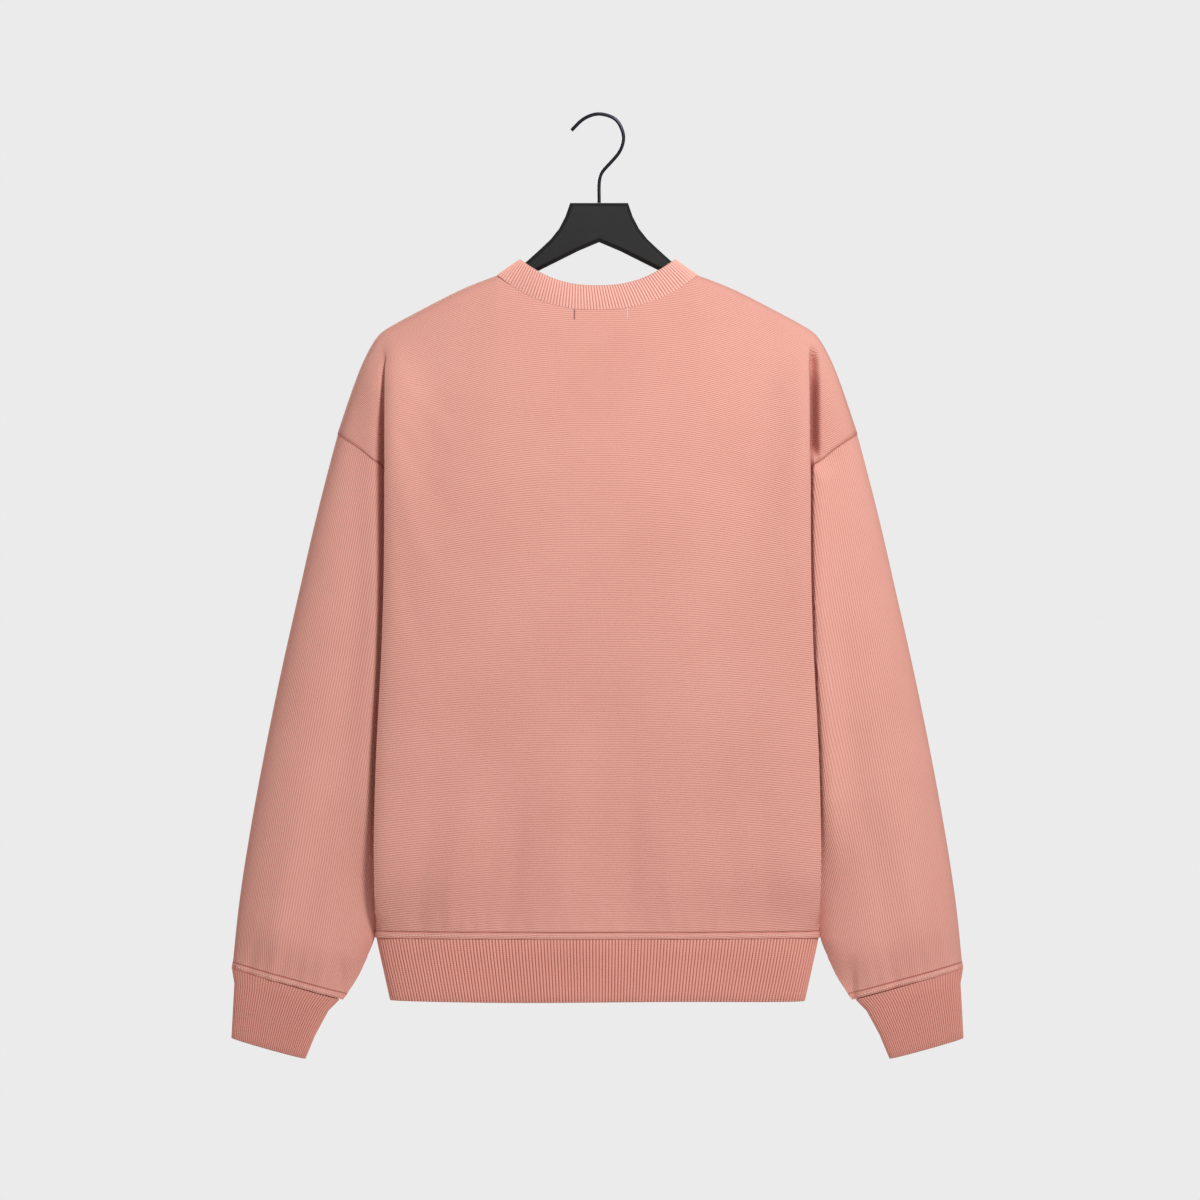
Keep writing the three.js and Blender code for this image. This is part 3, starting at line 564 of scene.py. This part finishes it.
def straight_seam(points):
    """Lifts the armhole seam where it nears the side fold, so that it runs straight."""
    half = np.abs(points[:, 0])
    down = -points[:, 2]
    near = np.exp(-((np.maximum(0, half - 201) / 9) ** 2))
    return SEAM_LIFT * near * np.exp(-(((down - 345) / 45) ** 2)) * ease(half, 150, 190)


SIDE_HALF = 211.4


def straight_side(points):
    """Brings the side of the body out to a straight edge where it nears the hem."""
    half = np.abs(points[:, 0])
    down = -points[:, 2]
    rows = np.arange(690, 781, 3.0)
    widest = np.array([half[np.abs(down - row) < 3].max() for row in rows])
    missing = np.interp(down, rows, np.maximum(0, SIDE_HALF - widest), left=0)
    return np.sign(points[:, 0]) * missing * ease(half, 165, 200)


def body_cloth(points):
    """The rows sag with the shoulders, and near the shoulder line they go over the top."""
    half = np.abs(points[:, 0])
    down = -points[:, 2]
    droop = 46 * (half / 200) ** 2.2 * (1 - 0.75 * ease(down, 220, 560))
    over = np.minimum(0, np.abs(points[:, 1]) - BODY_DEPTH) * (1 - ease(down, 240, 460))
    return points[:, 0], down - droop + over


def bead(above, height):
    """The raised welt over a seam, with a fine line above it."""
    inside = np.clip((WELT - above) / WELT, 0, 1)
    ridge = np.sqrt(np.maximum(0, 1 - (2 * inside - 1) ** 2)) * (above < WELT)
    return height * ridge - 0.5 * np.exp(-(((above - 6.4) / 0.6) ** 2))


# %% Back and front panels
BODY_LEVELS = 3


def body_panel(name, facing, mirror):
    piece = copy_of(name, name.replace("panel", "cloth"))
    print(name, "crisp edges:", crease_edges(piece, CRISP))
    subdivide(piece, BODY_LEVELS)
    points = points_of(piece)
    middle = 1 - ease(np.abs(points[:, 0]), 178, 197)
    lift = long_creases(points, BACK_CREASES, mirror) + puckers(points, 0.7 * mirror)
    lift += drag_lines(points)
    top = ease(-points[:, 2], 190, 250)
    lift = lift * middle * top + bead(HEM_DOWN + points[:, 2], WELT_RISE)
    points[:, 1] += facing * lift
    points[:, 1] += tuck_wall(points)
    points[:, 2] += straight_seam(points)
    points[:, 0] += straight_side(points)
    set_points(piece, points)
    map_cloth(piece, body_cloth)
    paint_seam_shade(piece)
    sharpen(piece)
    finish_piece(piece, body_knit, "body_knit", name)
    return piece


back_cloth = body_panel("back_panel", -1, 1)
front_cloth = body_panel("front_panel", 1, -1)

# %% [markdown]
# ## Sleeves
# Each sleeve hangs almost straight from the dropped shoulder, a flattened tube with a soft trough
# down its middle. It is eased into the cuff, so its end has puckers too.

# %% Sleeves
SLEEVE_LEVELS = 3
SLEEVE_DEPTH = 17
SLEEVE_TOP = (247.0, 302.0)
SLEEVE_RUN = np.array([100.0, 508.0]) / np.hypot(100, 508)


def sleeve_cloth(points):
    """Places across and along the sleeve, seen square on."""
    half = np.abs(points[:, 0]) - SLEEVE_TOP[0]
    down = -points[:, 2] - SLEEVE_TOP[1]
    across = half * SLEEVE_RUN[1] - down * SLEEVE_RUN[0]
    along = half * SLEEVE_RUN[0] + down * SLEEVE_RUN[1]
    return across, along


def sleeve_map(points):
    """The cloth map of a sleeve, which also goes round its two edges."""
    across, along = sleeve_cloth(points)
    round_edge = np.clip((across + 60) / 45, -1, 1) * (SLEEVE_DEPTH - np.abs(points[:, 1]))
    return across + round_edge, along


def sleeve_folds(points, side):
    """Creases across and along the sleeve, as a depth away from its middle plane."""
    across, along = sleeve_cloth(points)
    trough = -1.6 * ease(along, 250, 420) * np.exp(-(((across + 62) / 13) ** 2))
    ridge = 1.2 * ease(along, 280, 440) * np.exp(-(((across + 34) / 11) ** 2))
    second = -1.1 * ease(along, 60, 200) * (1 - ease(along, 260, 420))
    second = second * np.exp(-(((across + 46 + along * 0.05) / 15) ** 2))
    wave = np.sin(across / 2.4 + side) + 0.5 * np.sin(across / 4.1 + 2 * side)
    gathers = 0.4 * wave * ease(along, 470, 512)
    slack = 0.7 * np.sin(along / 21 + across / 26 + side) * ease(along, 400, 500)
    return trough + ridge + second + gathers + slack


# the end of the sleeve: inner edge, its distance down, outer edge, its distance down
SLEEVE_END = (242.6, 839.2, 347.7, 810.0)
CUFF_DEPTH = 12.6
# the inner edge of the sleeve near the hem: distance down and half width
INNER_EDGE = (
    (735, 202), (760, 206.8), (772, 209.6), (781, 211.5), (790, 214.4), (802, 219.3), (815, 226),
)


def above_end(points):
    inner, inner_down, outer, outer_down = SLEEVE_END
    share = (np.abs(points[:, 0]) - inner) / (outer - inner)
    return inner_down + (outer_down - inner_down) * share + points[:, 2], np.clip(share, 0, 1)


def gather_end(points):
    """Draws the end of the sleeve in to the depth of the cuff."""
    above, share = above_end(points)
    depth = np.abs(points[:, 1])
    steps = np.linspace(0, 1, 21)
    near = above < 7
    now = np.array([depth[near & (np.abs(share - step) < 0.04)].max() for step in steps])
    wanted = CUFF_DEPTH * (2 * np.sqrt(steps * (1 - steps))) ** 0.85 + 0.2
    change = np.interp(share, steps, np.minimum(0, wanted - now))
    scale = 1 + change / np.maximum(np.interp(share, steps, now), 1)
    return points[:, 1] * (scale - 1) * (1 - ease(above, 2, 48))


def close_inner_edge(points):
    """Brings the inner edge of the sleeve up to the side of the body, down to the hem seam."""
    half = np.abs(points[:, 0])
    down = -points[:, 2]
    rows = np.arange(735, 816, 3.0)
    inner = np.array([half[np.abs(down - row) < 3].min() for row in rows])
    wanted = np.interp(rows, *zip(*INNER_EDGE))
    change = np.interp(down, rows, np.minimum(0, wanted - inner), left=0, right=0)
    base = np.interp(down, rows, inner)
    return np.sign(points[:, 0]) * change * (1 - ease(half - base, 6, 34))


def sleeve(side_name, side):
    name = f"sleeve_{side_name}"
    piece = copy_of(name, f"sleeve_cloth_{side_name}")
    crease_edges(piece, CRISP)
    subdivide(piece, SLEEVE_LEVELS)
    points = points_of(piece)
    across, along = sleeve_cloth(points)
    inner = np.interp(along, [0, 200, 300, 520], [-95, -150, -135, -112])
    clear = ease(across, inner + 8, inner + 30) * (1 - ease(across, -16, -4))
    clear = clear * ease(along, 30, 80)
    points[:, 1] += gather_end(points)
    points[:, 0] += close_inner_edge(points)
    lift = sleeve_folds(points, side) * clear
    above, share = above_end(points)
    lift += bead(above, 0.8) * ease(share, 0, 0.05) * (1 - ease(share, 0.95, 1))
    points[:, 1] += np.sign(points[:, 1]) * lift + tuck_wall(points)
    points[:, 2] += straight_seam(points) + SLEEVE_RISE * (1 - ease(-points[:, 2], 340, 400))
    set_points(piece, points)
    map_cloth(piece, sleeve_map)
    paint_seam_shade(piece)
    sharpen(piece)
    finish_piece(piece, sleeve_knit, "sleeve_knit", name)
    return piece


sleeve_cloth_left = sleeve("left", -1)
sleeve_cloth_right = sleeve("right", 1)

# %% [markdown]
# ## Ribbed bands
# Ribbing is knitted in raised columns with deep lines between them, then folded double: it runs up
# the outside, turns over at the free edge and comes back inside. A flat grid is rolled up both
# ways for this: once round the body, and once round the fold.

# %% Rolled bands
WALL = 2.2
RIB_RISE = 0.8


def even_line(line, count):
    """A closed line of points, cut into equal lengths."""
    closed = np.vstack([line, line[:1]])
    length = np.concatenate([[0], np.cumsum(np.linalg.norm(np.diff(closed, axis=0), axis=1))])
    want = np.linspace(0, length[-1], count, endpoint=False)
    return np.stack([np.interp(want, length, closed[:, axis]) for axis in range(3)], axis=1)


def band_section(rows):
    """Steps round the fold: share of the height, share of the wall, and how far past the edge."""
    outside = [(i / rows, 0.0, 0.0) for i in range(rows + 1)]
    turn = [(1.0, 0.15, 0.62), (1.0, 0.5, 0.9), (1.0, 0.85, 0.62)]
    inside = [(share, 1.0, 0.0) for share in (1.0, 0.6, 0.25, 0.0)]
    return outside + turn + inside


def ribbed_band(name, line_at, ribs, per_rib, rows, rise=RIB_RISE):
    """line_at(share) is the plain outer line of the band, from its seam at 0 to its edge at 1."""
    columns = ribs * per_rib
    section = band_section(rows)
    bpy.ops.object.select_all(action="DESELECT")
    bpy.ops.mesh.primitive_grid_add(x_subdivisions=columns, y_subdivisions=len(section), size=2)
    piece = bpy.context.object
    piece.name = name
    flat = points_of(piece) * MM
    around = np.rint((flat[:, 0] + 1) / 2 * columns).astype(int)
    step = np.rint((flat[:, 1] + 1) / 2 * len(section)).astype(int) % len(section)

    shares = sorted({share for share, wall, past in section})
    lines = {share: even_line(line_at(share), columns) for share in shares}
    rise_way = lines[shares[-1]] - lines[shares[0]]
    height = np.linalg.norm(rise_way, axis=1, keepdims=True)
    rise_way = rise_way / height
    ribs_at = np.abs(np.sin(np.pi * np.arange(columns) / per_rib)) ** 0.6
    grid = np.empty((len(section), columns, 3))
    for i, (share, wall, past) in enumerate(section):
        line = lines[share]
        tangent = np.roll(line, -1, axis=0) - np.roll(line, 1, axis=0)
        outward = np.cross(tangent, rise_way)
        outward /= np.linalg.norm(outward, axis=1, keepdims=True)
        outward *= np.sign(np.sum(outward * (line - line.mean(axis=0)) * (1, 1, 0)))
        strength = 1.0 if wall == 0 else max(0.0, 1 - wall * 1.2)
        shown = min(1, 0.3 + 7 * share)
        lift = rise * (0.5 + (ribs_at[:, None] - 0.5) * shown) * strength
        grid[i] = line + outward * (lift - WALL * wall) + rise_way * past * WALL * 0.5
    set_points(piece, grid[step, around % columns])

    layer = piece.data.uv_layers[0]
    layer.name = "cloth"
    uv = np.empty(len(layer.data) * 2, dtype=np.float32)
    layer.data.foreach_get("uv", uv)
    uv = uv.reshape(-1, 2) * (ribs * RIB_PITCH, (2 * height.mean() + 2 * WALL) * MM)
    layer.data.foreach_set("uv", uv.astype(np.float32).ravel())

    pick_only(piece)
    bpy.ops.object.mode_set(mode="EDIT")
    bpy.ops.mesh.select_all(action="SELECT")
    bpy.ops.mesh.remove_doubles(threshold=0.002 * MM)
    bpy.ops.mesh.normals_make_consistent(inside=False)
    bpy.ops.object.mode_set(mode="OBJECT")
    sharpen(piece, 65)
    return piece


# %% [markdown]
# ## Hem
# The hem rib is shorter than the body, so it draws in a little towards its edge, and its weight
# lets it wave slightly.

# %% Hem band
HEM_ROWS = ((780.8, 209.4, 33.6), (839.6, 196.4, 29.6))
HEM_POWER = 2.5


def oval(half, depth, power, count=1440):
    angle = np.linspace(0, TURN, count, endpoint=False)
    x = half * np.sign(np.cos(angle)) * np.abs(np.cos(angle)) ** (2 / power)
    y = depth * np.sign(np.sin(angle)) * np.abs(np.sin(angle)) ** (2 / power)
    return x, y


def foot_depth(piece):
    """How far the body stands out at the hem seam, against the distance across."""
    points = points_of(piece)
    foot = points[-points[:, 2] > HEM_DOWN - 0.8]
    places = np.arange(-196, 197, 7.0)
    return places, np.array([np.abs(foot[np.abs(foot[:, 0] - x) < 4, 1]).max() for x in places])


FEET = {-1: foot_depth(back_cloth), 1: foot_depth(front_cloth)}


def hem_line(share):
    down, half, depth = (a + (b - a) * share for a, b in zip(*HEM_ROWS))
    x, y = oval(half, depth, HEM_POWER)
    wave = 0.7 * np.sin(x / 31 + 0.8) + 0.5 * np.sin(x / 12.5)
    y = y + np.sign(y) * wave * math.sin(math.pi * share) * np.minimum(1, np.abs(y) / 12)
    for facing, (places, depths) in FEET.items():
        follow = (1 - ease(share, 0, 0.5)) * (1 - ease(np.abs(x), 170, 194)) * (facing * y > 0)
        y = y + follow * (facing * (np.interp(x, places, depths) - 1.2) - y)
    z = -down + 0.5 * np.sin(x / 47) * share
    return np.stack([x, y, z + 0 * x], axis=1)


hem = ribbed_band("hem_rib", hem_line, 286, 8, 8)
finish_piece(hem, rib_knit, "rib_knit", "hem_band")

# %% [markdown]
# ## Cuffs
# Each cuff hangs at the slant of the sleeve's end, a flattened tube narrower than the sleeve.

# %% Cuffs
# inner edge and its distance down, outer edge and its distance down, depth
CUFF_ROWS = np.array([
    (245.4, 839.4, 346.9, 810.2, 12.6),
    (256.0, 850.0, 344.4, 824.0, 12.2),
    (268.5, 873.0, 345.8, 849.0, 11.6),
    (277.6, 895.0, 347.2, 875.5, 11.0),
])
CUFF_SHARES = (0, 0.2, 0.6, 1)


def cuff_line(side):
    def line(share):
        at = np.array([np.interp(share, CUFF_SHARES, CUFF_ROWS[:, i]) for i in range(5)])
        inner, inner_down, outer, outer_down, depth = at
        angle = np.linspace(0, TURN, 720, endpoint=False)
        across = 0.5 + 0.5 * np.cos(angle)
        y = depth * np.sign(np.sin(angle)) * np.abs(np.sin(angle)) ** 0.85
        x = inner + (outer - inner) * across
        down = inner_down + (outer_down - inner_down) * across
        return np.stack([side * x, y, -down], axis=1)
    return line


for side_name, side in (("left", -1), ("right", 1)):
    cuff = ribbed_band(f"cuff_rib_{side_name}", cuff_line(side), 84, 8, 10, 0.55)
    finish_piece(cuff, cuff_knit_painted_darker, "rib_knit", f"cuff_{side_name}")

# %% [markdown]
# ## Neckband
# The neckband stands up from the neck seam and leans in towards the neck. Its seam follows the
# curve that was cut into the back and the front, and its free edge is a shorter, shallower curve.

# %% Neckband
NECK_HALF = 95.0
NECK_POINT_DOWN = 151.6
COLLAR_HALF = 74.0
COLLAR_POINT_DOWN = 137.0
SEAM_SHIFT = 0.06
ARCH = 9.5
SWELL_DROP = (0, 9.5, 34, 80, 150)
SWELL = (0, 0, 7, 14, 22)

# facing, depth of the neck seam, power of its curve, depth and sag of the free edge
BACK_NECK = (-1, 184.9, 2.4, 162.5, 14.5)
FRONT_NECK = (1, 237.0, 2.2, 215.0, 18.0)


def neck_half_line(share, neck, steps=400):
    """One half of the neckband's line, from one neck point to the other."""
    facing, seam_down, power, edge_down, edge_depth = neck
    way = np.cos(np.linspace(0, math.pi, steps)) * -facing
    close = np.abs(way)
    low_down = seam_down + (NECK_POINT_DOWN - seam_down) * close ** power
    drop = low_down - NECK_POINT_DOWN
    arch = np.sqrt(np.maximum(0, ARCH ** 2 - np.maximum(0, ARCH - drop) ** 2))
    low_depth = arch + np.interp(drop, SWELL_DROP, SWELL)
    low = np.stack([NECK_HALF * way, facing * low_depth, -low_down], axis=1)
    high_down = edge_down + (COLLAR_POINT_DOWN - edge_down) * close ** power
    high_depth = edge_depth * np.sqrt(np.maximum(0, 1 - close ** 8))
    high = np.stack([COLLAR_HALF * way, facing * high_depth, -high_down], axis=1)
    rise = high - low
    rise /= np.linalg.norm(rise, axis=1, keepdims=True)
    low = low + rise * SEAM_SHIFT
    bow = np.stack([0 * way, facing * 1.2 * (1 - close ** 6), 0 * way], axis=1)
    return low + (high - low) * share + bow * math.sin(math.pi * share)


def neck_line(share):
    back = neck_half_line(share, BACK_NECK)
    front = neck_half_line(share, FRONT_NECK)
    return np.vstack([back[:-1], front[:-1]])


collar = ribbed_band("neck_rib", neck_line, 165, 10, 8)
finish_piece(collar, collar_knit_painted_lighter, "rib_knit", "neckband")

# %% [markdown]
# ## Sewing
# A row of stitches holds each welt down over its seam: short slanting threads, one after the
# other. One stitch is modelled, and each place on the row gets a copy of it.


# %% Stitches
def stitch_row(name, places, directions, outwards, material, slot, length=2.3, width=0.42):
    """One small rounded thread at each place, joined into one piece."""
    bpy.ops.object.select_all(action="DESELECT")
    bpy.ops.mesh.primitive_uv_sphere_add(segments=6, ring_count=5, radius=1)
    piece = bpy.context.object
    piece.name = name
    thread = np.array([tuple(v.co) for v in piece.data.vertices])
    faces = [tuple(face.vertices) for face in piece.data.polygons]
    thread *= (width, width * 0.62, length / 2)
    points = []
    polygons = []
    for i, (place, way, out) in enumerate(zip(places, directions, outwards)):
        side = np.cross(way, out)
        side /= np.linalg.norm(side)
        out = np.cross(side, way)
        points.append(place + thread @ np.array([side, out, way]))
        polygons += [tuple(i * len(thread) + v for v in face) for face in faces]
    mesh = bpy.data.meshes.new(name)
    mesh.from_pydata((np.vstack(points) * MM).tolist(), [], polygons)
    piece.data = mesh
    pick_only(piece)
    bpy.ops.object.mode_set(mode="EDIT")
    bpy.ops.mesh.select_all(action="SELECT")
    bpy.ops.mesh.normals_make_consistent(inside=False)
    bpy.ops.object.mode_set(mode="OBJECT")
    bpy.ops.object.shade_smooth()
    finish_piece(piece, material, slot)
    return piece


STITCH_PITCH = 3.1
STITCH_LIFT = 0.12


def surface_at(piece, x, z, facing):
    """The place and the normal of a piece's outside, seen from the back (-1) or the front (1)."""
    origin = (x * MM, facing * 0.5, z * MM)
    hit, place, normal, face = piece.ray_cast(origin, (0, -facing, 0))
    return (np.array(place) / MM, np.array(normal)) if hit else None


def hem_stitches(piece, facing, down):
    places, ways, outs = [], [], []
    for x in np.arange(-196, 197, STITCH_PITCH):
        found = surface_at(piece, x, -down, facing)
        if found:
            place, out = found
            places.append(place + out * STITCH_LIFT)
            ways.append(np.array([1.0, 0.0, 0.12]))
            outs.append(out)
    return places, ways, outs


for facing, piece, name in ((-1, back_cloth, "back"), (1, front_cloth, "front")):
    row = hem_stitches(piece, facing, HEM_DOWN - 3.0)
    stitch_row(f"hem_stitches_{name}", *row, pale_thread, "body_knit")


def cuff_stitches(piece, side):
    places, ways, outs = [], [], []
    end = np.array([100.6, 29.0]) / np.hypot(100.6, 29.0)
    for facing in (-1, 1):
        for along in np.arange(3, 101, STITCH_PITCH):
            x = 245.0 + along * end[0]
            down = 839.2 - 3.2 - along * end[1]
            found = surface_at(piece, side * x, -down, facing)
            if found:
                place, out = found
                places.append(place + out * STITCH_LIFT)
                ways.append(np.array([side * end[0], 0.0, end[1]]))
                outs.append(out)
    return places, ways, outs


for side_name, side, piece in (("left", -1, sleeve_cloth_left), ("right", 1, sleeve_cloth_right)):
    row = cuff_stitches(piece, side)
    stitch_row(f"cuff_stitches_{side_name}", *row, pale_thread, "sleeve_knit")

# %% [markdown]
# ## Two tacks under the neck seam
# Two short lines of thread show on the outside under the back neck seam, where something inside is
# sewn down by its two ends.

# %% Tack stitches
# place across, top and bottom, in millimetres
TACKS = (
    ("tack_left", -21.8, 184.6, 193.0, dark_thread),
    ("tack_right", 28.0, 183.4, 192.2, pale_thread),
)

for name, x, top, bottom, material in TACKS:
    places, ways, outs = [], [], []
    for down in np.arange(top + 1.2, bottom, 2.4):
        found = surface_at(back_cloth, x, -down, -1)
        if found:
            places.append(found[0] + found[1] * 0.1)
            ways.append(np.array([0.0, 0.0, 1.0]))
            outs.append(found[1])
    stitch_row(name, places, ways, outs, material, "body_knit", length=2.6, width=0.7)

# %% [markdown]
# ## Hanger and hook
# The solids are already true to shape. Their copies get a softer edge and a rounder wire.

# %% Hanger and hook
hanger = copy_of("hanger", "hanger_body", 5)
apply_modifier(hanger, "BEVEL", width=0.5 * MM, segments=2, limit_method="ANGLE",
               angle_limit=math.radians(28))
pick_only(hanger)
bpy.ops.object.shade_flat()
finish_piece(hanger, plastic.data, "hanger_plastic", "hanger")

hook = copy_of("hook", "hook_wire", 25)
crease_edges(hook, 75)
subdivide(hook, 2)
finish_piece(hook, steel.data, "hook_steel", "hook")

# %% [markdown]
# ## What the cloth was cut to
# Each piece of cloth is listed with the size it was cut to before it was sewn and hung, and its cut
# area is printed beside the modelled one.

# %% Cut sizes
# width and length of the flat cut and its area, in metres, and what carries it
CUTS = {
    "back_cloth": (0.62, 0.64, 0.33, ["hanger_body"]),
    "front_cloth": (0.62, 0.64, 0.32, ["hanger_body"]),
    "sleeve_cloth_left": (0.44, 0.55, 0.15, ["back_cloth"]),
    "sleeve_cloth_right": (0.44, 0.55, 0.15, ["back_cloth"]),
    "hem_rib": (0.86, 0.06, 0.0516, ["back_cloth"]),
    "cuff_rib_left": (0.19, 0.062, 0.0115, ["sleeve_cloth_left"]),
    "cuff_rib_right": (0.19, 0.062, 0.0115, ["sleeve_cloth_right"]),
    "neck_rib": (0.47, 0.026, 0.0122, ["back_cloth"]),
}

for name, (width, length, area, carriers) in CUTS.items():
    piece = bpy.data.objects[name]
    print(f"{name}: cut {area} m2, modelled {cloth_area(piece):.4f} m2")

# %% [markdown]
# ## Studio
# A soft light stands high on the right, as the shadows in the folds show, and pale air all round
# fills the rest. The floor lies well under the garment.

# %% Floor, light and air
bpy.ops.object.select_all(action="DESELECT")
bpy.ops.mesh.primitive_circle_add(vertices=96, radius=1.3, fill_type="NGON", location=(0, 0, -1.32))
floor = bpy.context.object
floor.name = "floor"
bpy.ops.object.transform_apply(location=True)
floor_paint = Finish("floor paint", linear(232, 231, 229), 0.7)
dust = floor_paint.noise(floor_paint.place(), 40, 3)
floor_paint.feed("Roughness", 0.62 + dust * 0.2)
floor.data.materials.append(floor_paint.data)


def area_light(name, place, target, size, power, colour):
    data = bpy.data.lights.new(name, "AREA")
    data.shape = "DISK"
    data.size = size
    data.energy = power
    data.color = colour
    light = bpy.data.objects.new(name, data)
    bpy.context.scene.collection.objects.link(light)
    light.location = place
    way = np.array(target) - np.array(place)
    flat = math.hypot(way[0], way[1])
    light.rotation_euler = (math.pi / 2 + math.atan2(way[2], flat), 0, math.atan2(-way[0], way[1]))
    return light


area_light("key", (0.72, -1.55, 0.75), (0.0, 0, -0.42), 0.5, 38.5, (0.96, 1.0, 0.995))
area_light("back_fill", (-1.5, 2.2, 0.6), (0, 0, -0.45), 1.4, 60, (1.0, 1.0, 1.0))

world = bpy.data.worlds.new("studio air")
bpy.context.scene.world = world
world.use_nodes = True
AIR_SEEN = linear(235, 235, 235)[0]
AIR_LIGHT = 0.385
AIR_COLOUR = (1.0, 0.91, 0.88)
backdrop = next(n for n in world.node_tree.nodes if n.type == "BACKGROUND")
path = world.node_tree.nodes.new("ShaderNodeLightPath")
shade = world.node_tree.nodes.new("ShaderNodeMix")
shade.data_type = "RGBA"
shade.inputs[6].default_value = (*(AIR_LIGHT * value for value in AIR_COLOUR), 1)
shade.inputs[7].default_value = (AIR_SEEN, AIR_SEEN, AIR_SEEN, 1)
world.node_tree.links.new(path.outputs["Is Camera Ray"], shade.inputs[0])
world.node_tree.links.new(shade.outputs[2], backdrop.inputs["Color"])
bpy.context.scene.view_settings.view_transform = "Standard"

# %% [markdown]
# ## Size
# The dressed garment stays the size of the solid model; a helper turns a box's corners into plain
# numbers.


# %% Sizes and finish
def plain(box):
    return [[float(value) for value in corner] for corner in box]
